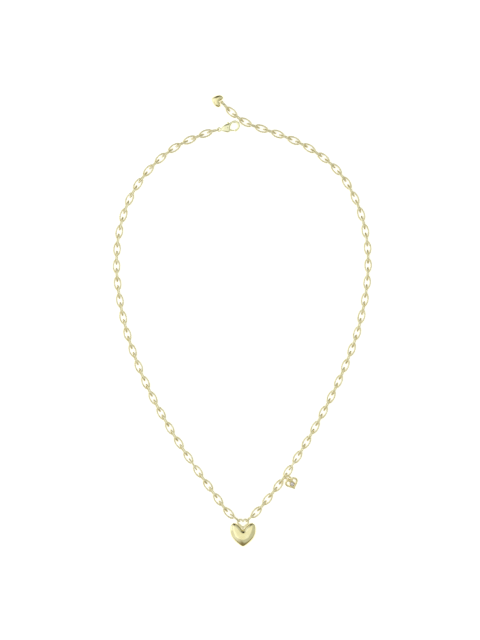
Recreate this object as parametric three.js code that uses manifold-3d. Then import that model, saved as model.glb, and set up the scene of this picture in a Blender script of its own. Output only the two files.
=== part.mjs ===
// Pendant necklace: a cable chain with a lobster clasp on one end and an extension with a small heart
// on the other, a puffed heart pendant on a heart-shaped wire ring, and a small crystal-set heart charm.
// The necklace lies flat and open. Millimetres, +Z up, pendant towards -Y, clasp towards +Y.

import * as THREE from "three";
import { mergeVertices } from "three/addons/utils/BufferGeometryUtils.js";
import Module from "manifold-3d";

const wasm = await Module();
wasm.setup();

// ---------- driving dimensions ----------

// The chain: oval wire links, turn and turn about lying flat and standing on edge
const LINK_PITCH = 3.74;
const LINK_WIDTH = 3.4;
const WIRE_RADIUS = 0.33;
const TURNING_GAP = 0.1; // clearance between two links that turn on each other
const JOINED_DEPTH = 0.16; // how far neighbours in one segment sink into each other
const LINKS_IN_SEGMENT = 3;
const LEFT_SEGMENTS = 18;
const RIGHT_SEGMENTS = 20;
// Segments up to this one turn sideways at every second joint. Later ones lie beside another part of
// the necklace and only fold up and down.
const LEFT_SIDEWAYS_LIMIT = 8;
const RIGHT_SIDEWAYS_LIMIT = RIGHT_SEGMENTS;
const LINK_STEPS = 8;
const WIRE_SIDES = 4;
const CHAIN_HEIGHT = LINK_WIDTH / 2; // the standing links rest on the table
const END_TO_CENTRE = (LINK_PITCH + 2 * WIRE_RADIUS + TURNING_GAP) / 2;
const JOINED_END_TO_CENTRE = (LINK_PITCH + 2 * WIRE_RADIUS - JOINED_DEPTH) / 2;

// Where each side of the chain lies, from its first link at the pendant to its free end
const LEFT_ROUTE = [
  [-3.0, -85.6], [-6.0, -83.3], [-15.1, -71.2], [-23.7, -58.9], [-31.6, -46.5], [-38.8, -33.6],
  [-45.0, -20.0], [-50.0, -5.7], [-53.3, 9.2], [-54.7, 24.3], [-53.5, 38.7], [-48.9, 53.2],
  [-40.6, 65.6], [-29.3, 75.3], [-15.9, 81.4], [-8.7, 83.6],
];
const RIGHT_ROUTE = [
  [3.2, -85.5], [6.0, -83.0], [15.5, -71.4], [23.9, -58.9], [31.5, -46.1], [38.6, -32.6],
  [44.6, -19.4], [49.8, -4.9], [53.1, 9.5], [54.5, 24.6], [53.3, 39.0], [48.7, 53.5],
  [41.0, 65.5], [28.8, 75.1], [14.9, 81.3], [7.7, 83.7], [1.4, 86.2], [-5.1, 90.9], [-11.0, 97.3],
];
const ROUTE_DIVISIONS = 4000;

// The heart-shaped wire ring between the two sides of the chain and the pendant
const BAIL = { x: 0.2, tipY: -90.0, width: 4.7, height: 3.9, wire: 0.3, steps: 20 };

// The puffed pendant heart: two domed shells and an eyelet in its notch
const PENDANT = { x: 0.22, tipY: -98.0, middle: 5.6, front: 1.85, back: 1.7, wall: 0.35, segments: 28 };
const PENDANT_BACK_FLAT = 0.3; // share of the back that is level
const PENDANT_INNER = 0.91; // the hollow's outline as a share of the outside's
const DOME_ROWS = 4;
const DOME_FULLNESS = 2.2; // 2 is an ellipse, more is fuller towards the rim
const SEAM_GAP = 0.04;
const EYELET = { y: -89.9, radius: 0.66, wire: 0.2, steps: 12 };
// right half of the pendant's outline, from its notch round to its tip at the origin
const PUFFED_HALF = [
  [0, 7.05], [0.5, 7.7], [1.0, 8.4], [1.55, 8.95], [2.1, 9.4], [2.7, 9.9], [3.35, 10.2],
  [4.15, 10.25], [4.95, 9.75], [5.5, 8.8], [5.6, 7.5], [5.5, 6.1], [5.05, 4.6], [4.3, 3.35],
  [3.2, 2.1], [2.0, 1.1], [0.95, 0.35], [0, 0],
];

// The crystal charm and the jump ring that carries it, on the right side of the chain
const CHARM_LINK = 6; // the standing link that the jump ring goes through
const CHARM_RING = { x: 19.44, y: -67.8, z: 2.6, radius: 1.8, wire: 0.3, steps: 14 };
const CHARM_RING_YAW = -26; // degrees
const CHARM_RING_LEAN = 63; // degrees from flat
const CHARM = { width: 5.0, height: 4.4, wire: 0.33, steps: 20, yaw: -65.6, droop: 14 };
const CHARM_NOTCH = 0.76; // how high the notch of the charm's heart is, as a share of its height
const CHARM_LOOP = { radius: 0.95, wire: 0.2, steps: 12, toNotch: 1.06 };
const CHARM_RING_HOLD = -25.9; // degrees round the jump ring where the charm's loop hangs
const SETTING = { radius: 1.2, seat: 0.98, low: -0.5, high: 0.5, floor: 0.3, fromNotch: 1.0 };
const STONE = { girdle: 0.92, band: 0.08, table: 0.5, crown: 0.4, pavilion: 0.5, sunk: 0.1, segments: 12 };

// The lobster clasp, in its own frame: origin at its tail eye, hook towards +X
const CLASP = { x: -10.15, y: 83.1, z: CHAIN_HEIGHT, turn: 2 };
const CLASP_THICKNESS = 1.9;
const CLASP_SLOT = 0.96;
const CLASP_EYE = { radius: 0.78, wire: 0.25, steps: 12 };
const CLASP_PIVOT = [3.7, 0.5];
const CLASP_PIN = { radius: 0.26, bore: 0.31, sides: 12 };
const LEVER_THICKNESS = 0.62;
const LEVER_BORE = 0.36;
// outline of the claw: over the back to the tip of the hook, then back inside it to the tail
const CLAW_STEPS = 40;
const CLAW_OUTLINE = [
  [0.85, 0.35], [1.7, 1.45], [2.9, 2.2], [4.2, 2.45], [5.2, 3.1], [6.3, 3.6], [7.5, 3.6],
  [8.5, 3.0], [9.05, 1.9], [9.0, 0.6], [8.3, -0.5], [7.2, -1.15], [6.65, -1.0], [6.7, -0.45],
  [7.5, 0.1], [8.05, 0.9], [8.0, 1.8], [7.4, 2.5], [6.5, 2.65], [5.6, 2.2], [5.05, 1.3],
  [4.9, 0.2], [4.7, -0.9], [4.0, -1.35], [2.6, -1.2], [1.4, -0.8], [0.85, -0.35],
];
const LEVER_STEPS = 22;
const LEVER_OUTLINE = [
  [3.5, 3.0], [4.25, 3.1], [4.35, 2.3], [4.3, 1.2], [4.5, 0.4], [5.3, -0.2], [6.35, -0.35],
  [6.35, -0.85], [5.2, -0.95], [4.1, -0.6], [3.2, 0.1], [3.15, 1.0], [3.45, 1.9],
];
const SLOT_OUTLINE = [
  [1.8, 0.3], [1.8, 1.1], [2.5, 1.8], [2.6, 3.2], [4.8, 3.2], [5.5, 1.6], [5.5, -1.8], [3.4, -1.8],
  [2.6, -0.2],
];
const SPRING_STRIP = { thickness: 0.14, width: 0.28, steps: 8 };
const SPRING_ROUTE = [[2.95, 0.35], [2.3, 0.25], [2.1, 0.7], [2.4, 1.3], [2.85, 1.65]];

// The small heart that ends the extension
const END_HEART = { half: 1.5, middle: 2.7, turn: 159, toNotch: 1.1, segments: 20 };
// right half of its outline, from its notch round to its tip at the origin
const END_HEART_HALF = [
  [0, 3.7], [0.5, 4.0], [1.05, 4.5], [1.7, 4.8], [2.3, 4.6], [2.7, 3.95], [2.75, 3.1], [2.45, 2.25],
  [1.8, 1.35], [0.95, 0.5], [0, 0],
];
// from the middle of its back to the middle of its front: share of the outline, share of the half depth
const END_HEART_PROFILE = [[0, -1], [0.45, -0.9], [0.78, -0.62], [1, 0], [0.78, 0.62], [0.45, 0.9], [0, 1]];
const END_LOOP = { radius: 0.56, wire: 0.17, steps: 12 };

// ---------- materials ----------

const GOLD = { color: 0xe9d27d, roughness: 0.22 };
const PENDANT_GOLD = { color: 0xefdc8e, roughness: 0.12 };
const STEEL = { color: 0xb9b8b0, roughness: 0.35 };
const CRYSTAL = { color: 0xf3e6e6, roughness: 0.05, metalness: 0 };

// ---------- shape tools ----------

// A geometry as a solid that can be joined and cut
function solidOf(geometry) {
  const bare = geometry.clone();
  bare.deleteAttribute("normal");
  bare.deleteAttribute("uv");
  const merged = mergeVertices(bare, 1e-4);
  return new wasm.Manifold(new wasm.Mesh({
    numProp: 3,
    vertProperties: new Float32Array(merged.attributes.position.array),
    triVerts: new Uint32Array(merged.index.array),
  }));
}

function geometryOf(solid) {
  const mesh = solid.getMesh();
  const geometry = new THREE.BufferGeometry();
  geometry.setAttribute("position", new THREE.BufferAttribute(mesh.vertProperties, 3));
  geometry.setIndex(new THREE.BufferAttribute(mesh.triVerts, 1));
  geometry.computeVertexNormals();
  return geometry;
}

function joined(geometries) {
  return geometryOf(geometries.map(solidOf).reduce((sum, next) => sum.add(next)));
}

function cut(geometry, cutters) {
  return geometryOf(cutters.map(solidOf).reduce((rest, tool) => rest.subtract(tool), solidOf(geometry)));
}

// Wire bent round a closed flat outline: a torus whose circle becomes the outline.
// outline(angle) gives the wire's centre line anticlockwise, and turn shifts where its corners fall.
function wireLoop(outline, wireRadius, steps, turn = 0) {
  const ring = 1;
  const tube = 0.5;
  const nudge = 1e-3;
  const geometry = new THREE.TorusGeometry(ring, tube, WIRE_SIDES, steps);
  const position = geometry.attributes.position;
  for (let i = 0; i < position.count; i += 1) {
    const angle = Math.atan2(position.getY(i), position.getX(i)) + turn;
    const out = ((Math.hypot(position.getX(i), position.getY(i)) - ring) / tube) * wireRadius;
    const [x, y] = outline(angle);
    const [beforeX, beforeY] = outline(angle - nudge);
    const [afterX, afterY] = outline(angle + nudge);
    const run = Math.hypot(afterX - beforeX, afterY - beforeY);
    position.setXYZ(
      i,
      x + (out * (afterY - beforeY)) / run,
      y - (out * (afterX - beforeX)) / run,
      (position.getZ(i) / tube) * wireRadius,
    );
  }
  return geometry;
}

function circle(radius) {
  return (angle) => [radius * Math.cos(angle), radius * Math.sin(angle)];
}

// A heart with its tip at the origin and its lobes towards +Y. Angle 0 is its widest place.
function heart(width, height) {
  const lowest = -17;
  const highest = 11.97;
  return (angle) => {
    const t = Math.PI / 2 - angle;
    // the usual heart curve, whose tip is at lowest and the tops of its lobes at highest
    const rise = 13 * Math.cos(t) - 5 * Math.cos(2 * t) - 2 * Math.cos(3 * t) - Math.cos(4 * t);
    return [(width / 2) * Math.sin(t) ** 3, (height * (rise - lowest)) / (highest - lowest)];
  };
}

// A puffed heart's outline, a closed curve through its own points, placed as heart() is.
// half is its right half from notch to tip.
function puffedHeart(half) {
  const notch = half[0];
  const left = half.slice(1).map(([x, y]) => [-x, y]);
  const right = half.slice(1, -1).reverse();
  const points = [notch, ...left, ...right].map(([x, y]) => new THREE.Vector3(x, y, 0));
  const curve = new THREE.CatmullRomCurve3(points, true, "centripetal");
  return (angle) => {
    const share = (angle / (2 * Math.PI) + 0.75) % 1;
    const point = curve.getPoint((share + 1) % 1);
    return [point.x, point.y];
  };
}

// A turned profile whose circles become copies of an outline, shrunk towards its centre.
// profile holds [share of the outline, height] from the middle of one side to the middle of the other.
function domed(outline, centre, profile, segments) {
  const points = profile.map(([share, height]) => new THREE.Vector2(share, height));
  const geometry = new THREE.LatheGeometry(points, segments);
  geometry.rotateX(Math.PI / 2);
  const position = geometry.attributes.position;
  for (let i = 0; i < position.count; i += 1) {
    const share = Math.hypot(position.getX(i), position.getY(i));
    const [x, y] = outline(Math.atan2(position.getY(i), position.getX(i)));
    position.setXYZ(
      i,
      centre[0] + share * (x - centre[0]),
      centre[1] + share * (y - centre[1]),
      position.getZ(i),
    );
  }
  return geometry;
}

function flatPoints(points) {
  return points.map(([x, y]) => new THREE.Vector2(x, y));
}

// A closed outline through the given points, rounded between them
function rounded(outline, steps) {
  const corners = flatPoints(outline);
  return new THREE.SplineCurve([...corners, corners[0]]).getPoints(steps);
}

// A flat plate with the given corners, centred on Z = 0
function plate(corners, thickness) {
  const settings = { depth: thickness, bevelEnabled: false };
  const geometry = new THREE.ExtrudeGeometry(new THREE.Shape(corners), settings);
  geometry.translate(0, 0, -thickness / 2);
  return geometry;
}

// A short pin along Z, centred on Z = 0
function pin(radius, length, [x, y], sides) {
  const geometry = new THREE.CylinderGeometry(radius, radius, length, sides);
  geometry.rotateX(Math.PI / 2);
  geometry.translate(x, y, 0);
  return geometry;
}

// ---------- assembly tools ----------

const necklace = new THREE.Group();

function addPiece(parent, name, geometry, finish) {
  const mesh = new THREE.Mesh(geometry, new THREE.MeshStandardMaterial({ metalness: 1, ...finish }));
  mesh.name = name;
  parent.add(mesh);
  return mesh;
}

// Every moving body's hinge: a point on it and its direction, both in the necklace's frame
function hinge(mesh, pivot, axis) {
  mesh.userData.hinge = { pivot, axis };
}

function radians(degrees) {
  return (degrees * Math.PI) / 180;
}

// ---------- chain ----------

function chainLink(backReach, frontReach) {
  const spread = 1 / Math.cos(Math.PI / LINK_STEPS);
  const sideReach = LINK_WIDTH / 2 - WIRE_RADIUS;
  const outline = (angle) => [
    spread * (Math.cos(angle) > 0 ? frontReach : backReach) * Math.cos(angle),
    spread * sideReach * Math.sin(angle),
  ];
  return wireLoop(outline, WIRE_RADIUS, LINK_STEPS, Math.PI / LINK_STEPS);
}

function chainRoute(points) {
  const curve = new THREE.CatmullRomCurve3(points.map(([x, y]) => new THREE.Vector3(x, y, CHAIN_HEIGHT)));
  curve.arcLengthDivisions = ROUTE_DIVISIONS;
  return curve;
}

// Link number i along a route: its centre and heading. Even links stand, odd ones lie flat.
function linkPlace(route, i) {
  const share = (i * LINK_PITCH) / route.getLength();
  const ahead = route.getTangentAt(share);
  return { centre: route.getPointAt(share), heading: Math.atan2(ahead.y, ahead.x), standing: i % 2 === 0 };
}

// The middle of the wire at a link's back or front end
function linkEnd(place, side) {
  const reach = side * END_TO_CENTRE;
  return [
    place.centre.x + reach * Math.cos(place.heading),
    place.centre.y + reach * Math.sin(place.heading),
    place.centre.z,
  ];
}

// A segment of links joined into one solid, in the frame of its middle link
function addSegment(name, route, first, count) {
  const middle = linkPlace(route, first + (count - 1) / 2);
  const links = [];
  for (let n = 0; n < count; n += 1) {
    const place = linkPlace(route, first + n);
    const geometry = chainLink(
      n > 0 ? JOINED_END_TO_CENTRE : END_TO_CENTRE,
      n < count - 1 ? JOINED_END_TO_CENTRE : END_TO_CENTRE,
    );
    geometry.rotateX(place.standing ? Math.PI / 2 : 0);
    geometry.rotateZ(place.heading - middle.heading);
    const offset = place.centre.clone().sub(middle.centre);
    offset.applyAxisAngle(new THREE.Vector3(0, 0, 1), -middle.heading);
    geometry.translate(offset.x, offset.y, 0);
    links.push(geometry);
  }
  const segment = addPiece(necklace, name, joined(links), GOLD);
  segment.position.copy(middle.centre);
  segment.rotation.z = middle.heading;
  return segment;
}

// A segment turns on the link before it: sideways about a standing link's end wire,
// or up and down about a flat link's end wire.
function hingeOnChain(segment, route, first, sideways) {
  const mine = linkPlace(route, first);
  const before = linkPlace(route, first - 1);
  const standingEnd = mine.standing ? linkEnd(mine, -1) : linkEnd(before, 1);
  const flatEnd = mine.standing ? linkEnd(before, 1) : linkEnd(mine, -1);
  const across = [-Math.sin(mine.heading), Math.cos(mine.heading), 0];
  hinge(segment, sideways ? standingEnd : flatEnd, sideways ? [0, 0, 1] : across);
}

function addChainSide(side, points, segments, sidewaysLimit) {
  const route = chainRoute(points);
  const start = addSegment(`chain_${side}_01`, route, 0, 1);
  hinge(start, linkEnd(linkPlace(route, 0), -1), [0, 0, 1]);
  for (let n = 1; n <= segments; n += 1) {
    const first = 1 + (n - 1) * LINKS_IN_SEGMENT;
    const name = `chain_${side}_${String(n + 1).padStart(2, "0")}`;
    const segment = addSegment(name, route, first, LINKS_IN_SEGMENT);
    hingeOnChain(segment, route, first, n % 2 === 0 && n <= sidewaysLimit);
  }
  return route;
}

const leftRoute = addChainSide("left", LEFT_ROUTE, LEFT_SEGMENTS, LEFT_SIDEWAYS_LIMIT);
const rightRoute = addChainSide("right", RIGHT_ROUTE, RIGHT_SEGMENTS, RIGHT_SIDEWAYS_LIMIT);

// ---------- heart-shaped wire ring ----------

function addBail() {
  const outline = heart(BAIL.width, BAIL.height);
  const ring = addPiece(necklace, "heart_bail_ring", wireLoop(outline, BAIL.wire, BAIL.steps), GOLD);
  ring.position.set(BAIL.x, BAIL.tipY, CHAIN_HEIGHT);
}

// ---------- pendant heart ----------

// The profile of a domed half shell, open at the seam, from its outside's middle to its inside's.
// depth is its height, and flat is the share of it that is level.
function halfShell(depth, flat) {
  const outside = [[0, depth]];
  const inside = [[0, depth - PENDANT.wall]];
  for (let n = flat > 0 ? 0 : 1; n <= DOME_ROWS; n += 1) {
    const along = Math.sin((n / DOME_ROWS) * (Math.PI / 2));
    const share = flat + (1 - flat) * along;
    const rise = Math.sqrt(1 - along ** DOME_FULLNESS);
    outside.push([share, SEAM_GAP + (depth - SEAM_GAP) * rise]);
    inside.push([share * PENDANT_INNER, SEAM_GAP + (depth - SEAM_GAP - PENDANT.wall) * rise]);
  }
  return [...outside, ...inside.reverse()];
}

function addPendant() {
  const pendant = new THREE.Group();
  pendant.position.set(PENDANT.x, PENDANT.tipY, CHAIN_HEIGHT);
  necklace.add(pendant);

  const outline = puffedHeart(PUFFED_HALF);
  const middle = [0, PENDANT.middle];
  const frontProfile = halfShell(PENDANT.front, 0).reverse();
  const backProfile = halfShell(PENDANT.back, PENDANT_BACK_FLAT).map(([share, height]) => [share, -height]);
  const front = domed(outline, middle, frontProfile, PENDANT.segments);
  const back = domed(outline, middle, backProfile, PENDANT.segments);
  const frontShell = addPiece(pendant, "heart_front_shell", front, PENDANT_GOLD);
  hinge(frontShell, [BAIL.x, BAIL.tipY, CHAIN_HEIGHT], [1, 0, 0]);
  addPiece(pendant, "heart_back_shell", back, PENDANT_GOLD);
  const ring = wireLoop(circle(EYELET.radius), EYELET.wire, EYELET.steps);
  const eyelet = addPiece(pendant, "heart_eyelet", ring, GOLD);
  eyelet.position.y = EYELET.y - PENDANT.tipY;
  eyelet.rotation.y = Math.PI / 2;
}

// ---------- crystal charm ----------

// A cup that holds the stone, open upwards
function settingCup() {
  const seatFloor = SETTING.low + SETTING.floor;
  const profile = [
    [0, SETTING.low], [SETTING.radius, SETTING.low], [SETTING.radius, SETTING.high],
    [SETTING.seat, SETTING.high], [SETTING.seat, seatFloor], [0, seatFloor],
  ];
  const geometry = new THREE.LatheGeometry(flatPoints(profile), STONE.segments);
  geometry.rotateX(Math.PI / 2);
  return geometry;
}

function stoneShape() {
  const profile = [
    [0, -STONE.pavilion], [STONE.girdle, 0], [STONE.girdle, STONE.band], [STONE.table, STONE.crown],
    [0, STONE.crown],
  ];
  const geometry = new THREE.LatheGeometry(flatPoints(profile), STONE.segments);
  geometry.rotateX(Math.PI / 2);
  return geometry;
}

function addCharm() {
  const carrier = linkPlace(rightRoute, CHARM_LINK);
  const ring = addPiece(necklace, "charm_jump_ring",
    wireLoop(circle(CHARM_RING.radius), CHARM_RING.wire, CHARM_RING.steps), GOLD);
  ring.position.set(CHARM_RING.x, CHARM_RING.y, CHARM_RING.z);
  ring.rotation.set(radians(CHARM_RING_LEAN), 0, radians(CHARM_RING_YAW), "ZXY");
  hinge(ring, [carrier.centre.x, carrier.centre.y, CHAIN_HEIGHT + LINK_WIDTH / 2 - WIRE_RADIUS],
    [Math.cos(carrier.heading), Math.sin(carrier.heading), 0]);
  ring.updateMatrixWorld();

  const hold = radians(CHARM_RING_HOLD);
  const held = new THREE.Vector3(Math.cos(hold), Math.sin(hold), 0).multiplyScalar(CHARM_RING.radius);
  const along = new THREE.Vector3(-Math.sin(hold), Math.cos(hold), 0);
  held.applyMatrix4(ring.matrixWorld);
  along.transformDirection(ring.matrixWorld);

  const charm = new THREE.Group();
  charm.position.copy(held);
  charm.rotation.set(0, radians(CHARM.droop), radians(CHARM.yaw), "ZYX");
  necklace.add(charm);

  const tip = CHARM_LOOP.toNotch + CHARM_NOTCH * CHARM.height;
  const rim = wireLoop(heart(CHARM.width, CHARM.height), CHARM.wire, CHARM.steps);
  rim.rotateZ(Math.PI / 2);
  rim.translate(tip, 0, 0);
  const loop = wireLoop(circle(CHARM_LOOP.radius), CHARM_LOOP.wire, CHARM_LOOP.steps);
  const cup = settingCup();
  const middle = CHARM_LOOP.toNotch + SETTING.fromNotch;
  cup.translate(middle, 0, 0);
  const frame = addPiece(charm, "charm_frame", joined([rim, loop, cup]), GOLD);
  hinge(frame, held.toArray(), along.toArray());

  const stone = addPiece(charm, "charm_stone", stoneShape(), CRYSTAL);
  stone.position.set(middle, 0, SETTING.high - STONE.sunk);
}

// ---------- lobster clasp ----------

function springStrip() {
  const { thickness, width, steps } = SPRING_STRIP;
  const curve = new THREE.CatmullRomCurve3(SPRING_ROUTE.map(([x, y]) => new THREE.Vector3(x, y, 0)));
  const corners = [[-thickness, -width], [thickness, -width], [thickness, width], [-thickness, width]];
  const section = new THREE.Shape(flatPoints(corners.map(([x, y]) => [x / 2, y / 2])));
  return new THREE.ExtrudeGeometry(section, { steps, extrudePath: curve, bevelEnabled: false });
}

function addClasp() {
  const last = linkPlace(leftRoute, LEFT_SEGMENTS * LINKS_IN_SEGMENT);
  const clasp = new THREE.Group();
  clasp.position.set(CLASP.x, CLASP.y, CLASP.z);
  clasp.rotation.z = radians(CLASP.turn);
  necklace.add(clasp);
  clasp.updateMatrixWorld();

  const claw = plate(rounded(CLAW_OUTLINE, CLAW_STEPS), CLASP_THICKNESS);
  const eye = wireLoop(circle(CLASP_EYE.radius), CLASP_EYE.wire, CLASP_EYE.steps);
  const slot = plate(flatPoints(SLOT_OUTLINE), CLASP_SLOT);
  const bore = pin(CLASP_PIN.bore, CLASP_THICKNESS * 2, CLASP_PIVOT, CLASP_PIN.sides);
  const body = addPiece(clasp, "clasp_body", cut(joined([claw, eye]), [slot, bore]), GOLD);
  hinge(body, linkEnd(last, 1), [0, 0, 1]);

  addPiece(clasp, "clasp_lever_pin",
    pin(CLASP_PIN.radius, CLASP_THICKNESS, CLASP_PIVOT, CLASP_PIN.sides), STEEL);
  const leverPlate = plate(rounded(LEVER_OUTLINE, LEVER_STEPS), LEVER_THICKNESS);
  const leverBore = pin(LEVER_BORE, CLASP_THICKNESS, CLASP_PIVOT, CLASP_PIN.sides);
  const lever = addPiece(clasp, "clasp_lever", cut(leverPlate, [leverBore]), GOLD);
  const pivot = new THREE.Vector3(...CLASP_PIVOT, 0).applyMatrix4(clasp.matrixWorld);
  hinge(lever, pivot.toArray(), [0, 0, 1]);
  addPiece(clasp, "clasp_spring", springStrip(), STEEL);
}

// ---------- small heart at the end of the extension ----------

function addEndHeart() {
  const last = linkPlace(rightRoute, RIGHT_SEGMENTS * LINKS_IN_SEGMENT);
  const end = linkEnd(last, 1);
  const ending = new THREE.Group();
  ending.position.set(...end);
  ending.rotation.z = radians(END_HEART.turn);
  necklace.add(ending);

  const notch = END_HEART_HALF[0][1];
  const profile = END_HEART_PROFILE.map(([share, height]) => [share, height * END_HEART.half]);
  const body = domed(puffedHeart(END_HEART_HALF), [0, END_HEART.middle], profile, END_HEART.segments);
  body.rotateZ(Math.PI / 2);
  body.translate(END_HEART.toNotch + notch, 0, 0);
  const heartMesh = addPiece(ending, "end_heart", body, PENDANT_GOLD);
  hinge(heartMesh, end, [0, 0, 1]);
  addPiece(ending, "end_heart_loop", wireLoop(circle(END_LOOP.radius), END_LOOP.wire, END_LOOP.steps), GOLD);
}

addBail();
addPendant();
addCharm();
addClasp();
addEndHeart();

export default necklace;
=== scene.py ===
"""A pendant necklace laid flat and open on a pale table: cable chain, heart pendant on a heart-shaped
ring, crystal-set heart charm, lobster clasp, and an extension that ends in a small heart."""
import math

import bpy
import numpy as np
from mathutils import Matrix, Vector
from mathutils.geometry import delaunay_2d_cdt


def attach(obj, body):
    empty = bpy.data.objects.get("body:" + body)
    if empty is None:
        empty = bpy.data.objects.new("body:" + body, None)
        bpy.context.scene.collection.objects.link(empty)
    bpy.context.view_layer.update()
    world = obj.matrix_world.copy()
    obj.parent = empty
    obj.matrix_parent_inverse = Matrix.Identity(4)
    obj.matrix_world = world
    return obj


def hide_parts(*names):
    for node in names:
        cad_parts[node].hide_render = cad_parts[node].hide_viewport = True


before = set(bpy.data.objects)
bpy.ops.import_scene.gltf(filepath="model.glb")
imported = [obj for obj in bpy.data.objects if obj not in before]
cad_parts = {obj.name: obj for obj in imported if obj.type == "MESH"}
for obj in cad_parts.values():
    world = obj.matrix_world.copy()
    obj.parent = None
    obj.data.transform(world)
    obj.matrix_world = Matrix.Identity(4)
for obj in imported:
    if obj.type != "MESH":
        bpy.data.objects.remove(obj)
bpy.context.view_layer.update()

# Lengths are in millimetres here and become metres when a piece is made.
MM = 0.001
FULL_TURN = 2 * math.pi

# ---------- driving dimensions ----------

# The table is Z = 0, and the chain's links are centred this high
CHAIN_HEIGHT = 1.7
LINK_PITCH = 3.74
LINK_REACH = 2.88
TAUT_REACH = 2.25  # of the end that holds the bail or the end heart's loop
LINK_HALF_WIDTH = 1.36
LINK_WIRE = 0.35
LINKS_IN_SEGMENT = 3
EDGE_LEAN = math.radians(18)
UPRIGHT_LINKS = {"left": (0, 8), "right": (0, 8)}

LEFT_ROUTE = [
    (-3.0, -85.6), (-6.0, -83.3), (-15.1, -71.2), (-23.7, -58.9), (-31.6, -46.5), (-38.8, -33.6),
    (-45.0, -20.0), (-50.0, -5.7), (-53.3, 9.2), (-54.7, 24.3), (-53.5, 38.7), (-48.9, 53.2),
    (-40.6, 65.6), (-29.3, 75.3), (-15.9, 81.4), (-8.7, 83.6),
]
RIGHT_ROUTE = [
    (3.2, -85.5), (6.0, -83.0), (15.5, -71.4), (23.9, -58.9), (31.5, -46.1), (38.6, -32.6),
    (44.6, -19.4), (49.8, -4.9), (53.1, 9.5), (54.5, 24.6), (53.3, 39.0), (48.7, 53.5),
    (41.0, 65.5), (28.8, 75.1), (14.9, 81.3), (7.7, 83.7), (1.4, 86.2), (-5.1, 90.9), (-11.0, 97.3),
]
SEGMENTS = {"left": 18, "right": 20}

BAIL = {"x": 0.2, "tip_y": -90.0, "width": 4.7, "height": 3.9, "wire": 0.38}

PENDANT = {"x": 0.22, "tip_y": -98.0, "front": 1.85, "back": 1.7, "wall": 0.3, "seam": 0.03}
HEART_HALF = [
    (0, 7.05), (0.5, 7.7), (1.0, 8.4), (1.55, 8.95), (2.1, 9.4), (2.7, 9.9), (3.35, 10.2),
    (4.15, 10.25), (4.95, 9.75), (5.5, 8.8), (5.6, 7.5), (5.5, 6.1), (5.05, 4.6), (4.3, 3.35),
    (3.2, 2.1), (2.0, 1.1), (0.95, 0.35), (0, 0),
]
EYELET = {"y": -89.9, "radius": 0.66, "wire": 0.2}

CHARM_RING = {"centre": (19.44, -67.8, 2.6), "radius": 1.8, "wire": 0.33}
CHARM_RING_YAW = math.radians(-26)
CHARM_RING_LEAN = math.radians(63)
CHARM_RING_HOLD = math.radians(-25.9)
CHARM = {"width": 5.0, "height": 4.4, "wire": 0.35, "notch": 0.76}
CHARM_YAW = math.radians(-65.6)
CHARM_DROOP = math.radians(14)
CHARM_LOOP = {"radius": 0.95, "wire": 0.2, "to_notch": 1.06}
SETTING = {"radius": 1.2, "seat": 0.98, "low": -0.5, "high": 0.5, "from_notch": 1.0, "sunk": 0.1}

CLASP = {"x": -10.15, "y": 83.1, "turn": math.radians(2), "half": 0.95, "slot_half": 0.36}
CLASP_EYE = {"radius": 0.78, "wire": 0.25}
CLASP_PIVOT = (3.7, 0.5)
CLAW_OUTLINE = [
    (0.85, 0.35), (1.7, 1.45), (2.9, 2.2), (4.2, 2.45), (5.2, 3.1), (6.3, 3.6), (7.5, 3.6),
    (8.5, 3.0), (9.05, 1.9), (9.0, 0.6), (8.3, -0.5), (7.2, -1.15), (6.65, -1.0), (6.7, -0.45),
    (7.5, 0.1), (8.05, 0.9), (8.0, 1.8), (7.4, 2.5), (6.5, 2.65), (5.6, 2.2), (5.05, 1.3),
    (4.9, 0.2), (4.7, -0.9), (4.0, -1.35), (2.6, -1.2), (1.4, -0.8), (0.85, -0.35),
]
LEVER_ROUTE = [
    (3.95, 2.95), (3.85, 2.2), (3.75, 1.3), (3.85, 0.5), (4.35, -0.15), (5.3, -0.55), (6.35, -0.62),
]
LEVER_WIDTHS = [0.42, 0.46, 0.5, 0.58, 0.48, 0.36, 0.3]
LEVER_HALF_HEIGHT = 0.31
SLOT_OUTLINE = [
    (1.8, 0.3), (1.8, 1.1), (2.5, 1.8), (2.6, 3.2), (4.8, 3.2), (5.5, 1.6), (5.5, -1.8), (3.4, -1.8),
    (2.6, -0.2),
]
SPRING_ROUTE = [(2.95, 0.35), (2.3, 0.25), (2.1, 0.7), (2.4, 1.3), (2.85, 1.65)]

END_HEART = {"half": 1.5, "turn": math.radians(159), "to_notch": 1.1}
END_HEART_HALF = [
    (0, 3.7), (0.5, 4.0), (1.05, 4.5), (1.7, 4.8), (2.3, 4.6), (2.7, 3.95), (2.75, 3.1), (2.45, 2.25),
    (1.8, 1.35), (0.95, 0.5), (0, 0),
]
END_LOOP = {"radius": 0.56, "wire": 0.18}

# The light that comes from each part of the room
ROOM = {"walls": (0.25, 0.21, 0.125), "dark": (0.02, 0.016, 0.008), "window": (0.85, 0.87, 0.88),
        "ceiling": (0.6, 0.62, 0.57)}


# ---------- node helpers ----------

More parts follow.
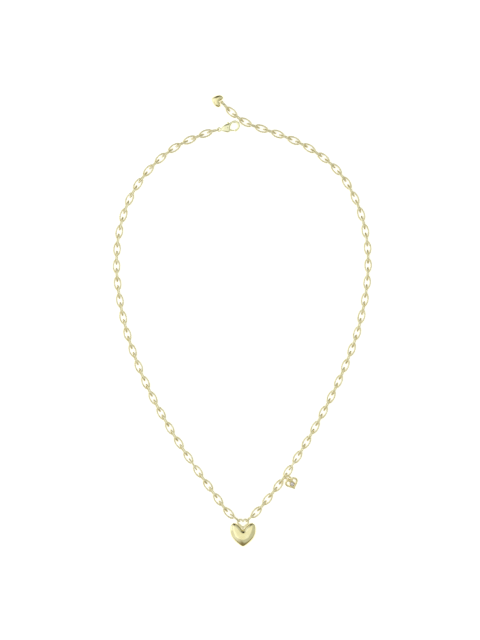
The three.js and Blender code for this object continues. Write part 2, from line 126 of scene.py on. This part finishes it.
class Nodes:
    """A material's node tree with short calls for the nodes that the materials share."""

    def __init__(self, name):
        self.material = bpy.data.materials.new(name)
        self.material.use_nodes = True
        self.tree = self.material.node_tree
        self.shader = self.tree.nodes["Principled BSDF"]
        self.place = self.add("ShaderNodeTexCoord").outputs["Object"]

    def add(self, kind, **settings):
        node = self.tree.nodes.new(kind)
        for key, value in settings.items():
            if key in node.inputs:
                node.inputs[key].default_value = value
            else:
                setattr(node, key, value)
        return node

    def link(self, source, target):
        self.tree.links.new(source, target)

    def noise(self, size_mm, detail=3.0, stretch=None):
        """Noise whose features are about size_mm across, drawn out along an axis by stretch."""
        node = self.add("ShaderNodeTexNoise", Scale=1 / (size_mm * MM), Detail=detail)
        place = self.place
        if stretch:
            mapping = self.add("ShaderNodeMapping", Scale=stretch)
            self.link(place, mapping.inputs["Vector"])
            place = mapping.outputs["Vector"]
        self.link(place, node.inputs["Vector"])
        return node.outputs["Fac"]

    def spread(self, value, low, high, from_low=0.3, from_high=0.7):
        """value, from its usual range, onto low to high."""
        node = self.add("ShaderNodeMapRange")
        node.inputs["From Min"].default_value = from_low
        node.inputs["From Max"].default_value = from_high
        node.inputs["To Min"].default_value = low
        node.inputs["To Max"].default_value = high
        self.link(value, node.inputs["Value"])
        return node.outputs["Result"]

    def mix(self, share, first, second):
        """Two colours mixed by a share between 0 and 1. Each is a colour or another node's output."""
        node = self.add("ShaderNodeMix", data_type="RGBA")
        self.link(share, node.inputs["Factor"])
        for key, colour in (("A", first), ("B", second)):
            socket = [s for s in node.inputs if s.name == key and s.type == "RGBA"][0]
            if isinstance(colour, bpy.types.NodeSocket):
                self.link(colour, socket)
            else:
                socket.default_value = (*colour, 1)
        return [s for s in node.outputs if s.type == "RGBA"][0]

    def sum(self, first, second, operation="ADD"):
        node = self.add("ShaderNodeMath", operation=operation, use_clamp=True)
        self.link(first, node.inputs[0])
        self.link(second, node.inputs[1])
        return node.outputs["Value"]

    def bump(self, height, depth_mm, strength=1.0):
        node = self.add("ShaderNodeBump", Distance=depth_mm * MM, Strength=strength)
        self.link(height, node.inputs["Height"])
        self.link(node.outputs["Normal"], self.shader.inputs["Normal"])


def gold(name, bright, deep, smooth, rough, ripple_mm):
    """Plated gold: its tone drifts a little, polishing left faint lines, and rubbed places are brown."""
    n = Nodes(name)
    worn = n.add("ShaderNodeAttribute", attribute_name="wear").outputs["Fac"]
    tone = n.spread(n.noise(2.4), 0.0, 1.0)
    plated = n.mix(tone, bright, deep)
    n.link(n.mix(worn, plated, (0.5, 0.33, 0.13)), n.shader.inputs["Base Color"])
    polish = n.spread(n.noise(0.35, 5.0, (1.0, 0.25, 1.0)), smooth, rough)
    n.link(n.sum(polish, n.spread(worn, 0.0, 0.2, 0.0, 1.0)), n.shader.inputs["Roughness"])
    n.bump(n.noise(0.5, 2.0), ripple_mm)
    n.shader.inputs["Metallic"].default_value = 1.0
    return n.material


def steel(name):
    n = Nodes(name)
    n.link(n.mix(n.noise(0.4), (0.62, 0.6, 0.56), (0.42, 0.4, 0.37)), n.shader.inputs["Base Color"])
    n.link(n.spread(n.noise(0.12, 4.0, (1.0, 0.1, 1.0)), 0.2, 0.4), n.shader.inputs["Roughness"])
    n.bump(n.noise(0.08, 2.0), 0.001)
    n.shader.inputs["Metallic"].default_value = 1.0
    return n.material


def crystal(name):
    n = Nodes(name)
    n.link(n.mix(n.noise(0.8), (0.97, 0.88, 0.9), (1.0, 0.95, 0.94)), n.shader.inputs["Base Color"])
    n.link(n.spread(n.noise(0.5), 0.0, 0.03), n.shader.inputs["Roughness"])
    n.shader.inputs["Transmission Weight"].default_value = 0.5
    n.shader.inputs["Metallic"].default_value = 0.6
    n.shader.inputs["IOR"].default_value = 1.9
    return n.material


def table_top(name):
    n = Nodes(name)
    n.link(n.mix(n.noise(60.0), (0.93, 0.93, 0.925), (0.9, 0.9, 0.9)), n.shader.inputs["Base Color"])
    n.shader.inputs["Roughness"].default_value = 0.9
    n.shader.inputs["Specular IOR Level"].default_value = 0.1
    n.shader.inputs["Emission Color"].default_value = (1, 1, 1, 1)
    n.shader.inputs["Emission Strength"].default_value = 0.55
    return n.material


CHAIN_GOLD = gold("chain_gold", (0.89, 0.84, 0.6), (0.77, 0.7, 0.42), 0.10, 0.2, 0.004)
HEART_GOLD = gold("heart_gold", (0.95, 0.89, 0.57), (0.9, 0.81, 0.44), 0.06, 0.14, 0.0015)
CHARM_GOLD = gold("charm_gold", (0.92, 0.84, 0.52), (0.82, 0.71, 0.38), 0.10, 0.22, 0.005)
CLASP_GOLD = gold("clasp_gold", (0.95, 0.93, 0.66), (0.9, 0.87, 0.54), 0.12, 0.24, 0.004)
CLASP_STEEL = steel("clasp_steel")
CRYSTAL = crystal("crystal")


# ---------- mesh helpers ----------

class Shape:
    """Points in millimetres, faces, and how rubbed each point is, which only the links' ends are."""

    def __init__(self, points, faces, wear=None):
        self.points = np.asarray(points, float)
        self.faces = [list(map(int, f)) for f in faces]
        self.wear = np.zeros(len(self.points)) if wear is None else np.asarray(wear, float)

    def moved(self, matrix):
        m = np.array(matrix)
        return Shape(self.points @ m[:3, :3].T + m[:3, 3], self.faces, self.wear)

    def __add__(self, other):
        shift = len(self.points)
        faces = self.faces + [[i + shift for i in f] for f in other.faces]
        return Shape(np.vstack((self.points, other.points)), faces, np.append(self.wear, other.wear))


def make(name, shape, material, smooth=True):
    """A mesh object in the necklace's frame."""
    mesh = bpy.data.meshes.new(name)
    mesh.from_pydata((shape.points * MM).tolist(), [], shape.faces)
    mesh.validate()
    mesh.materials.append(material)
    mesh.polygons.foreach_set("use_smooth", [smooth] * len(mesh.polygons))
    wear = mesh.attributes.new("wear", "FLOAT", "POINT")
    wear.data.foreach_set("value", shape.wear.astype(np.float32))
    piece = bpy.data.objects.new(name, mesh)
    bpy.context.scene.collection.objects.link(piece)
    return piece


def finish_piece(piece, body, slot, *nodes):
    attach(piece, body)
    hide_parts(*nodes)
    return piece


def move(x=0.0, y=0.0, z=0.0):
    return Matrix.Translation((x, y, z))


def turn(angle, axis):
    return Matrix.Rotation(angle, 4, axis)


def curve_through(points, count, closed=False):
    """Evenly spaced points on a centripetal Catmull-Rom curve."""
    p = np.asarray(points, float)
    if closed:
        p = np.vstack((p[-1], p, p[0], p[1]))
    else:
        p = np.vstack((2 * p[0] - p[1], p, 2 * p[-1] - p[-2]))
    gaps = np.sqrt(np.linalg.norm(np.diff(p, axis=0), axis=1))
    w = np.linspace(0, 1, 200, endpoint=False)[:, None]
    dense = []
    for i in range(1, len(p) - 2):
        a, b, c, d = p[i - 1:i + 3]
        g0, g1, g2 = gaps[i - 1:i + 2]
        start = g1 * ((b - a) / g0 - (c - a) / (g0 + g1) + (c - b) / g1)
        end = g1 * ((c - b) / g1 - (d - b) / (g1 + g2) + (d - c) / g2)
        dense.append(
            b + w * start + w**2 * (3 * (c - b) - 2 * start - end) + w**3 * (2 * (b - c) + start + end)
        )
    dense = np.vstack((*dense, p[-2]))
    along = np.append(0, np.cumsum(np.linalg.norm(np.diff(dense, axis=0), axis=1)))
    at = np.linspace(0, along[-1], count, endpoint=not closed)
    return np.column_stack([np.interp(at, along, dense[:, k]) for k in range(dense.shape[1])])


def swept(route, half_widths, half_heights, sides=14, closed=False):
    """A bar of oval section along a flat route in XY. An open bar ends in rounded caps."""
    route = np.asarray(route, float)
    count = len(route)
    half_widths = np.broadcast_to(half_widths, count)
    half_heights = np.broadcast_to(half_heights, count)
    ahead = np.roll(route, -1, 0) - np.roll(route, 1, 0)
    if not closed:
        ahead[0] = route[1] - route[0]
        ahead[-1] = route[-1] - route[-2]
    ahead /= np.linalg.norm(ahead, axis=1)[:, None]
    across = np.column_stack((ahead[:, 1], -ahead[:, 0]))
    around = np.arange(sides) / sides * FULL_TURN
    rings = []
    for i in range(count):
        flat = route[i] + np.outer(half_widths[i] * np.cos(around), across[i])
        rings.append(np.column_stack((flat, half_heights[i] * np.sin(around))))
    if not closed:
        for end, direction in ((0, -1), (-1, 1)):
            reach = min(half_widths[end], half_heights[end])
            cap = []
            for share in (0.45, 0.8, 0.97):
                shrink = math.sqrt(1 - share**2)
                flat = rings[end][:, :2] - route[end]
                centre = route[end] + direction * share * reach * ahead[end]
                cap.append(np.column_stack((centre + flat * shrink, rings[end][:, 2] * shrink)))
            rings = cap[::-1] + rings if end == 0 else rings + cap
    points = np.vstack(rings)
    total = len(rings)
    faces = []
    for i in range(total if closed else total - 1):
        a, b = i * sides, (i + 1) % total * sides
        for j in range(sides):
            k = (j + 1) % sides
            faces.append((a + j, b + j, b + k, a + k))
    if not closed:
        faces.append(range(sides))
        faces.append(range(total * sides - 1, (total - 1) * sides - 1, -1))
    return Shape(points, faces)


def ring_wire(radius, wire, steps=40, sides=14):
    angles = np.arange(steps) / steps * FULL_TURN
    return swept(radius * np.column_stack((np.cos(angles), np.sin(angles))), wire, wire, sides, closed=True)


def lathed(profile, steps=48):
    """A turned shape about Z. profile holds (radius, height) from its top to its bottom, off the axis."""
    angles = np.arange(steps) / steps * FULL_TURN
    points = np.vstack([
        np.column_stack((r * np.cos(angles), r * np.sin(angles), np.full(steps, z))) for r, z in profile
    ])
    faces = []
    rows = len(profile)
    for i in range(rows - 1):
        for j in range(steps):
            k = (j + 1) % steps
            faces.append((i * steps + j, (i + 1) * steps + j, (i + 1) * steps + k, i * steps + k))
    faces.append(range(steps))
    faces.append(range(rows * steps - 1, (rows - 1) * steps - 1, -1))
    return Shape(points, faces)


# ---------- puffed outlines ----------

def distance_to(outline, points):
    """Each point's distance to a closed outline."""
    a, b = outline, np.roll(outline, -1, 0)
    run = b - a
    best = np.full(len(points), np.inf)
    for start, step in zip(a, run):
        share = np.clip((points - start) @ step / (step @ step), 0, 1)
        best = np.minimum(best, np.linalg.norm(points - start - share[:, None] * step, axis=1))
    return best


def inside(outline, points):
    x, y = points[:, 0], points[:, 1]
    within = np.zeros(len(points), bool)
    for (ax, ay), (bx, by) in zip(outline, np.roll(outline, -1, 0)):
        crosses = (ay > y) != (by > y)
        if ay != by:
            within ^= crosses & (x < (bx - ax) * (y - ay) / (by - ay) + ax)
    return within


def membrane(points, triangles, fixed):
    """The height of a stretched skin under even pressure, held down at its edge: 0 there, 1 at its top."""
    corners = points[triangles]
    first, second, weight = [], [], []
    for k in range(3):
        i, j = triangles[:, (k + 1) % 3], triangles[:, (k + 2) % 3]
        u = corners[:, (k + 1) % 3] - corners[:, k]
        v = corners[:, (k + 2) % 3] - corners[:, k]
        area = np.abs(u[:, 0] * v[:, 1] - u[:, 1] * v[:, 0])
        first.append(i)
        second.append(j)
        weight.append((u * v).sum(1) / (2 * np.maximum(area, 1e-12)))
    first, second, weight = map(np.concatenate, (first, second, weight))
    count = len(points)
    diagonal = np.bincount(first, weight, count) + np.bincount(second, weight, count)
    u = corners[:, 1] - corners[:, 0]
    v = corners[:, 2] - corners[:, 0]
    share = np.abs(u[:, 0] * v[:, 1] - u[:, 1] * v[:, 0]) / 6
    load = sum(np.bincount(triangles[:, k], share, count) for k in range(3))
    free = ~fixed

    def pulled(x):
        near = np.bincount(first, weight * x[second], count) + np.bincount(second, weight * x[first], count)
        return np.where(free, diagonal * x - near, 0)

    height = np.zeros(count)
    rest = np.where(free, load, 0)
    scale = np.where(free, 1 / np.maximum(diagonal, 1e-9), 0)
    step = scale * rest
    before = rest @ step
    for _ in range(1200):
        force = pulled(step)
        length = before / max(step @ force, 1e-30)
        height += length * step
        rest = rest - length * force
        eased = scale * rest
        after = rest @ eased
        if after < 1e-16:
            break
        step = eased + after / before * step
        before = after
    return np.maximum(height, 0) / height.max()


def puffed(outline, spacing, rows):
    """A flat mesh inside an outline, with rows close to its edge, and how far it puffs: 0 to 1."""
    ahead = np.roll(outline, -1, 0) - np.roll(outline, 1, 0)
    inward = np.column_stack((-ahead[:, 1], ahead[:, 0])) / np.linalg.norm(ahead, axis=1)[:, None]
    if not inside(outline, outline[:1] + 0.01 * inward[:1])[0]:
        inward = -inward
    found = [outline]
    for depth in rows:
        row = outline + depth * inward
        keep = inside(outline, row) & (distance_to(outline, row) > 0.93 * depth)
        found.append(row[keep])
    low, high = outline.min(0), outline.max(0)
    grid = []
    for j, y in enumerate(np.arange(low[1], high[1], spacing * math.sqrt(3) / 2)):
        x = np.arange(low[0] + (j % 2) * spacing / 2, high[0], spacing)
        grid.append(np.column_stack((x, np.full(len(x), y))))
    grid = np.vstack(grid)
    grid = grid[inside(outline, grid)]
    found.append(grid[distance_to(outline, grid) > rows[-1] + spacing / 2])
    points = np.vstack(found)
    count = len(outline)
    edges = [(i, (i + 1) % count) for i in range(count)]
    made = delaunay_2d_cdt([Vector(p) for p in points], edges, [], 1, 1e-7)
    flat = np.array([tuple(p) for p in made[0]])
    triangles = np.array(made[2])
    edge = distance_to(outline, flat) < 1e-4
    return flat, triangles, np.sqrt(membrane(flat, triangles, edge)), edge


def facing_up(points, triangles):
    a, b, c = (points[triangles[:, k], :2] for k in range(3))
    side = (b - a)[:, 0] * (c - a)[:, 1] - (b - a)[:, 1] * (c - a)[:, 0]
    return np.where(side[:, None] > 0, triangles, triangles[:, ::-1])


def boundary_of(triangles):
    """The directed edges that only one triangle has."""
    edges = {(int(t[k]), int(t[(k + 1) % 3])) for t in triangles for k in range(3)}
    return [(a, b) for a, b in edges if (b, a) not in edges]


def pillow(flat, triangles, edge, top, bottom):
    """A closed solid whose top and bottom heights are given, and whose edge points are shared."""
    up = facing_up(flat, triangles)
    count = len(flat)
    lower = np.where(edge, np.arange(count), count + np.cumsum(~edge) - 1)
    points = np.vstack((np.column_stack((flat, top)), np.column_stack((flat, bottom))[~edge]))
    return Shape(points, [*up, *lower[up][:, ::-1]])


def shell(flat, triangles, outside, hollow):
    """A thin dish between two heights over the same flat mesh, closed along its rim."""
    up = facing_up(flat, triangles)
    count = len(flat)
    points = np.vstack((np.column_stack((flat, outside)), np.column_stack((flat, hollow))))
    rim = [(b, a, a + count, b + count) for a, b in boundary_of(up)]
    if outside[0] + outside.sum() < hollow[0] + hollow.sum():
        return Shape(points, [*up[:, ::-1], *(up + count), *[f[::-1] for f in rim]])
    return Shape(points, [*up, *(up[:, ::-1] + count), *rim])


# ---------- chain ----------

def link_shape(back, front):
    """One link lying flat along X: round wire bent to an oval, with a soldered joint in one side."""
    seam = FULL_TURN * 0.3
    near_seam = seam + np.array([-0.09, -0.03, 0.0, 0.03, 0.09])
    angles = np.sort(np.append(np.arange(40) / 40 * FULL_TURN, near_seam))
    reach = np.where(np.cos(angles) > 0, front, back)
    route = np.column_stack((reach * np.cos(angles), LINK_HALF_WIDTH * np.sin(angles)))
    solder = 0.07 * np.exp(-(((angles - seam) / 0.08) ** 2))
    pinch = 1 + solder - 0.2 * np.exp(-(((angles - seam) / 0.02) ** 2))
    sides = 12
    link = swept(route, LINK_WIRE * pinch, LINK_WIRE * pinch, sides, closed=True)
    around = np.arange(sides) / sides * FULL_TURN
    inner = np.clip(-np.cos(around), 0, 1) ** 2
    end = np.abs(np.cos(angles)) ** 10
    link.wear = np.outer(end, inner).ravel() * 0.8
    return link


def along_route(points):
    """A function from a distance along a route to its x, y and heading there."""
    fine = curve_through(points, 20001)
    along = np.append(0, np.cumsum(np.linalg.norm(np.diff(fine, axis=0), axis=1)))
    step = 0.05

    def at(distance):
        back, here, front = (
            [np.interp(distance + s, along, fine[:, k]) for k in range(2)] for s in (-step, 0, step)
        )
        return here[0], here[1], math.atan2(front[1] - back[1], front[0] - back[0])

    return at


def chain_side(side, points):
    """The links along one side, three to a piece as the CAD segments are, and one alone at the start."""
    count = 1 + SEGMENTS[side] * LINKS_IN_SEGMENT
    route_at = along_route(points)
    middle_link = link_shape(LINK_REACH, LINK_REACH)
    first_link = link_shape(TAUT_REACH, LINK_REACH)
    last_link = link_shape(LINK_REACH, TAUT_REACH)
    for segment in range(SEGMENTS[side] + 1):
        first = 0 if segment == 0 else 1 + (segment - 1) * LINKS_IN_SEGMENT
        last = first + (1 if segment == 0 else LINKS_IN_SEGMENT)
        shape = None
        for i in range(first, last):
            x, y, heading = route_at(i * LINK_PITCH)
            roll = 0.0
            if i % 2 == 0:
                lean = 0.0 if i in UPRIGHT_LINKS[side] else EDGE_LEAN
                roll = math.pi / 2 + lean * (1 if side == "left" else -1)
            link = first_link if i == 0 else last_link if i == count - 1 else middle_link
            placed = link.moved(move(x, y, CHAIN_HEIGHT) @ turn(heading, "Z") @ turn(roll, "X"))
            shape = placed if shape is None else shape + placed
        number = f"{segment + 1:02d}"
        piece = make(f"chain_links_{side}_{number}", shape, CHAIN_GOLD)
        finish_piece(piece, f"{side}_{number}", "chain_gold", f"chain_{side}_{number}")


# ---------- heart-shaped ring and pendant ----------

def heart_line(width, height, steps):
    """The usual heart curve with its tip at the origin and its lobes towards +Y."""
    t = np.arange(steps) / steps * FULL_TURN
    rise = 13 * np.cos(t) - 5 * np.cos(2 * t) - 2 * np.cos(3 * t) - np.cos(4 * t)
    lowest, highest = -17, 11.97
    return np.column_stack((width / 2 * np.sin(t) ** 3, height * (rise - lowest) / (highest - lowest)))


def heart_outline(half, count):
    """A puffed heart's outline from its right half, with a sharp notch and a rounded tip."""
    left = [(-x, y) for x, y in half[-2::-1]]
    return curve_through(half + left, count + 1)[:-1]


def bail():
    line = curve_through(heart_line(BAIL["width"], BAIL["height"], 60), 110, closed=True)
    shape = swept(line, BAIL["wire"], BAIL["wire"], 16, closed=True)
    piece = make("bail", shape.moved(move(BAIL["x"], BAIL["tip_y"], CHAIN_HEIGHT)), CHAIN_GOLD)
    finish_piece(piece, "bail", "chain_gold", "heart_bail_ring")


def pendant():
    outline = heart_outline(HEART_HALF, 200)
    flat, triangles, puff, edge = puffed(outline, 0.3, (0.02, 0.06, 0.13, 0.24, 0.4, 0.62))
    seam, wall = PENDANT["seam"], PENDANT["wall"]
    place = move(PENDANT["x"], PENDANT["tip_y"], CHAIN_HEIGHT)
    inner = np.where(edge, 0, np.maximum(puff * (PENDANT["front"] - wall) - 0.02, 0))
    dome = seam + puff ** 1.15 * (PENDANT["front"] - seam)
    front = shell(flat, triangles, dome, seam + inner ** 1.15 * 0.85)
    piece = make("heart_front", front.moved(place), HEART_GOLD)
    finish_piece(piece, "heart", "heart_gold", "heart_front_shell")
    # The back is shallower near the notch, which leaves the bail room when the pendant swings
    notch = outline[(outline[:, 1] > 7) & (np.abs(outline[:, 0]) < 3.3)]
    near_notch = np.min(np.linalg.norm(flat[:, None] - notch[None], axis=2), axis=1)
    level = np.minimum(puff / 0.9, 1.0)
    level = level * (1.5 - 0.5 * level ** 2)
    level = level * (1 - 0.6 * np.exp(-((near_notch / 1.1) ** 2)))
    back = shell(flat, triangles, -seam - level * (PENDANT["back"] - seam), -seam - inner * 0.8)
    piece = make("heart_back", back.moved(place), HEART_GOLD)
    finish_piece(piece, "heart", "heart_gold", "heart_back_shell")
    ring = ring_wire(EYELET["radius"], EYELET["wire"])
    ring = ring.moved(move(PENDANT["x"], EYELET["y"], CHAIN_HEIGHT) @ turn(math.pi / 2, "Y"))
    finish_piece(make("heart_eyelet_ring", ring, CHAIN_GOLD), "heart", "chain_gold", "heart_eyelet")


# ---------- crystal charm ----------

def setting_cup():
    high, low, out, seat = SETTING["high"], SETTING["low"], SETTING["radius"], SETTING["seat"]
    return lathed([
        (0.05, low + 0.3), (seat - 0.15, low + 0.3), (seat, low + 0.45), (seat, high - 0.12),
        (seat + 0.03, high - 0.02), (seat + 0.09, high), (out - 0.06, high), (out, high - 0.07),
        (out + 0.01, 0.1), (out - 0.03, -0.2), (out - 0.16, low + 0.06), (out - 0.3, low), (0.05, low),
    ])


def claw_grip(angle):
    """A small bead of metal pushed over the stone's edge."""
    bead = lathed([(0.03, 0.16), (0.1, 0.13), (0.15, 0.06), (0.16, 0.0), (0.14, -0.12), (0.05, -0.2)], 16)
    reach = SETTING["seat"] + 0.02
    return bead.moved(move(reach * math.cos(angle), reach * math.sin(angle), SETTING["high"] + 0.04))


def cut_stone():
    """A round brilliant: table, crown in two rows of facets, thin girdle and a pointed pavilion."""
    sides = 8
    step = FULL_TURN / sides
    rows = [(0.52, 0.42, 0.0), (0.76, 0.27, 0.5), (0.95, 0.05, 0.0), (0.95, 0.0, 0.0), (0.55, -0.28, 0.5),
            (0.04, -0.5, 0.0)]
    points = []
    for radius, height, shift in rows:
        for j in range(sides):
            angle = (j + shift) * step
            points.append((radius * math.cos(angle), radius * math.sin(angle), height))
    faces = [range(sides), range(len(points) - 1, len(points) - 1 - sides, -1)]
    for i in range(len(rows) - 1):
        shifted = rows[i][2] - rows[i + 1][2]
        for j in range(sides):
            a, b = i * sides + j, i * sides + (j + 1) % sides
            c, d = (i + 1) * sides + j, (i + 1) * sides + (j + 1) % sides
            if shifted > 0:
                faces += [(a, c, d), (a, d, b)]
            elif shifted < 0:
                faces += [(a, c, b), (b, c, d)]
            else:
                faces.append((a, c, d, b))
    return Shape(points, faces)


def charm():
    ring_place = (
        move(*CHARM_RING["centre"]) @ turn(CHARM_RING_YAW, "Z") @ turn(CHARM_RING_LEAN, "X")
    )
    ring = ring_wire(CHARM_RING["radius"], CHARM_RING["wire"], 48, 16).moved(ring_place)
    finish_piece(make("charm_ring_wire", ring, CHARM_GOLD), "charm_ring", "chain_gold", "charm_jump_ring")

    held = ring_place @ Vector((
        CHARM_RING["radius"] * math.cos(CHARM_RING_HOLD), CHARM_RING["radius"] * math.sin(CHARM_RING_HOLD), 0,
    ))
    place = Matrix.Translation(held) @ turn(CHARM_YAW, "Z") @ turn(CHARM_DROOP, "Y")
    tip = CHARM_LOOP["to_notch"] + CHARM["notch"] * CHARM["height"]
    line = curve_through(heart_line(CHARM["width"], CHARM["height"], 60), 96, closed=True)
    rim = swept(line, CHARM["wire"] * 1.25, CHARM["wire"] * 1.1, 16, closed=True)
    rim = rim.moved(move(tip) @ turn(math.pi / 2, "Z"))
    loop = ring_wire(CHARM_LOOP["radius"], CHARM_LOOP["wire"], 36)
    middle = move(CHARM_LOOP["to_notch"] + SETTING["from_notch"])
    body = rim + loop + setting_cup().moved(middle)
    for quarter in range(4):
        body = body + claw_grip((quarter + 0.5) * math.pi / 2).moved(middle)
    finish_piece(make("charm_heart", body.moved(place), CHARM_GOLD), "charm", "charm_gold", "charm_frame")

    stone = cut_stone().moved(place @ middle @ move(z=SETTING["high"] - SETTING["sunk"]))
    finish_piece(make("charm_crystal", stone, CRYSTAL, smooth=False), "charm", "crystal", "charm_stone")


# ---------- lobster clasp ----------

def prism(outline, half):
    points = [(x, y, half) for x, y in outline] + [(x, y, -half) for x, y in outline]
    count = len(outline)
    faces = [range(count), range(2 * count - 1, count - 1, -1)]
    faces += [(i, i + count, (i + 1) % count + count, (i + 1) % count) for i in range(count)]
    return Shape(points, faces)


def carved(piece, tool):
    """piece with tool cut out of it. tool is removed."""
    cutter = piece.modifiers.new("slot", "BOOLEAN")
    cutter.operation = "DIFFERENCE"
    cutter.solver = "EXACT"
    cutter.object = tool
    bpy.context.view_layer.update()
    graph = bpy.context.evaluated_depsgraph_get()
    piece.data = bpy.data.meshes.new_from_object(piece.evaluated_get(graph))
    piece.modifiers.clear()
    bpy.data.objects.remove(tool)
    return piece


def clasp():
    place = move(CLASP["x"], CLASP["y"], CHAIN_HEIGHT) @ turn(CLASP["turn"], "Z")
    outline = curve_through(CLAW_OUTLINE, 240, closed=True)
    flat, triangles, puff, edge = puffed(outline, 0.14, (0.02, 0.06, 0.12, 0.2, 0.3))
    height = CLASP["half"] * puff ** 0.5
    claw = make("clasp_claw", pillow(flat, triangles, edge, height, -height).moved(place), CLASP_GOLD)
    slot = make("clasp_slot_tool", prism(SLOT_OUTLINE[::-1], CLASP["slot_half"]).moved(place), CLASP_GOLD)
    claw = carved(claw, slot)
    finish_piece(claw, "clasp", "clasp_gold", "clasp_body")
    eye = ring_wire(CLASP_EYE["radius"], CLASP_EYE["wire"], 36).moved(place)
    finish_piece(make("clasp_tail_eye", eye, CLASP_GOLD), "clasp", "clasp_gold")

    route = curve_through(LEVER_ROUTE, 40)
    widths = np.interp(np.linspace(0, 1, 40), np.linspace(0, 1, len(LEVER_WIDTHS)), LEVER_WIDTHS)
    lever = swept(route, widths, LEVER_HALF_HEIGHT, 16).moved(place)
    finish_piece(make("clasp_trigger", lever, CLASP_GOLD), "clasp_lever", "clasp_gold", "clasp_lever")

    head = CLASP["half"]
    rivet = lathed([
        (0.04, head + 0.05), (0.15, head + 0.03), (0.24, head - 0.03), (0.26, head - 0.1),
        (0.26, 0.1 - head), (0.24, 0.03 - head), (0.15, -head - 0.03), (0.04, -head - 0.05),
    ], 24).moved(place @ move(*CLASP_PIVOT))
    finish_piece(make("clasp_rivet", rivet, CLASP_STEEL), "clasp", "clasp_steel", "clasp_lever_pin")
    strip = swept(curve_through(SPRING_ROUTE, 24), 0.07, 0.16, 10).moved(place)
    finish_piece(make("clasp_spring_strip", strip, CLASP_STEEL), "clasp", "clasp_steel", "clasp_spring")


# ---------- small heart at the end of the extension ----------

def end_heart():
    last = SEGMENTS["right"] * LINKS_IN_SEGMENT
    x, y, heading = along_route(RIGHT_ROUTE)(last * LINK_PITCH)
    end = (x + TAUT_REACH * math.cos(heading), y + TAUT_REACH * math.sin(heading), CHAIN_HEIGHT)
    place = move(*end) @ turn(END_HEART["turn"], "Z")
    outline = heart_outline(END_HEART_HALF, 120)
    flat, triangles, puff, edge = puffed(outline, 0.2, (0.02, 0.06, 0.13, 0.24))
    height = END_HEART["half"] * puff ** 0.9
    lying = move(END_HEART["to_notch"] + END_HEART_HALF[0][1]) @ turn(math.pi / 2, "Z")
    body = pillow(flat, triangles, edge, height, -height).moved(place @ lying)
    finish_piece(make("end_heart_puffed", body, HEART_GOLD), "end_charm", "heart_gold", "end_heart")
    loop = ring_wire(END_LOOP["radius"], END_LOOP["wire"], 32).moved(place)
    finish_piece(make("end_heart_ring", loop, CHAIN_GOLD), "end_charm", "chain_gold", "end_heart_loop")


# ---------- studio ----------

def room():
    """The room that the gold mirrors: pale overhead and to the west, brown low in the south and east, and
    nearly black low in the north."""
    world = bpy.data.worlds.new("studio")
    world.use_nodes = True
    tree = world.node_tree
    direction = tree.nodes.new("ShaderNodeTexCoord").outputs["Generated"]

    def towards(vector, low, high):
        """0 to 1 as the direction's reach along vector goes from low to high."""
        reach = tree.nodes.new("ShaderNodeVectorMath")
        reach.operation = "DOT_PRODUCT"
        reach.inputs[1].default_value = vector
        tree.links.new(direction, reach.inputs[0])
        share = tree.nodes.new("ShaderNodeMapRange")
        share.interpolation_type = "SMOOTHSTEP"
        share.inputs["From Min"].default_value = low
        share.inputs["From Max"].default_value = high
        tree.links.new(reach.outputs["Value"], share.inputs["Value"])
        return share.outputs["Result"]

    def over(below, share, colour):
        node = tree.nodes.new("ShaderNodeMix")
        node.data_type = "RGBA"
        first, second = [s for s in node.inputs if s.type == "RGBA"]
        tree.links.new(share, node.inputs["Factor"])
        tree.links.new(below, first)
        second.default_value = (*colour, 1)
        return [s for s in node.outputs if s.type == "RGBA"][0]

    walls = tree.nodes.new("ShaderNodeRGB")
    walls.outputs[0].default_value = (*ROOM["walls"], 1)
    colour = over(walls.outputs[0], towards((0.35, 0.93, -0.1), 0.2, 0.65), ROOM["dark"])
    colour = over(colour, towards((-0.8, 0.0, 0.6), 0.45, 0.85), ROOM["window"])
    colour = over(colour, towards((0.6, 0.0, 1), 0.58, 0.86), ROOM["ceiling"])
    tree.links.new(colour, tree.nodes["Background"].inputs["Color"])
    return world


def studio():
    top = bpy.data.meshes.new("table")
    half = 1.5
    corners = [(-half, -half, 0), (half, -half, 0), (half, half, 0), (-half, half, 0)]
    top.from_pydata(corners, [], [(0, 1, 2, 3)])
    top.materials.append(table_top("table_top"))
    floor = bpy.data.objects.new("table", top)
    bpy.context.scene.collection.objects.link(floor)

    bpy.context.scene.world = room()

    def softbox(name, place, target, size, watts):
        light = bpy.data.lights.new(name, "AREA")
        light.size = size
        light.energy = watts
        lamp = bpy.data.objects.new(name, light)
        lamp.location = place
        direction = Vector(target) - Vector(place)
        lamp.rotation_mode = "QUATERNION"
        lamp.rotation_quaternion = direction.to_track_quat("-Z", "Y")
        bpy.context.scene.collection.objects.link(lamp)

    softbox("overhead", (-0.1, 0.0, 1.0), (0, 0, 0), 1.2, 1.6)
    softbox("left_fill", (-0.9, 0.1, 0.45), (0, 0, 0), 0.5, 0.35)
    bpy.context.scene.view_settings.view_transform = "Standard"


def camera():
    """Looks straight down. It sees 0.278 m of the chain's level from top to bottom."""
    lens = bpy.data.cameras.new("camera")
    lens.lens = 85
    seen = 0.2778
    far = seen / 2 * lens.lens / (lens.sensor_width / 2)
    eye = bpy.data.objects.new("camera", lens)
    eye.location = (-0.00108, 0.00043, CHAIN_HEIGHT * MM + far)
    bpy.context.scene.collection.objects.link(eye)
    bpy.context.scene.camera = eye


camera()
studio()
chain_side("left", LEFT_ROUTE)
chain_side("right", RIGHT_ROUTE)
bail()
pendant()
charm()
clasp()
end_heart()
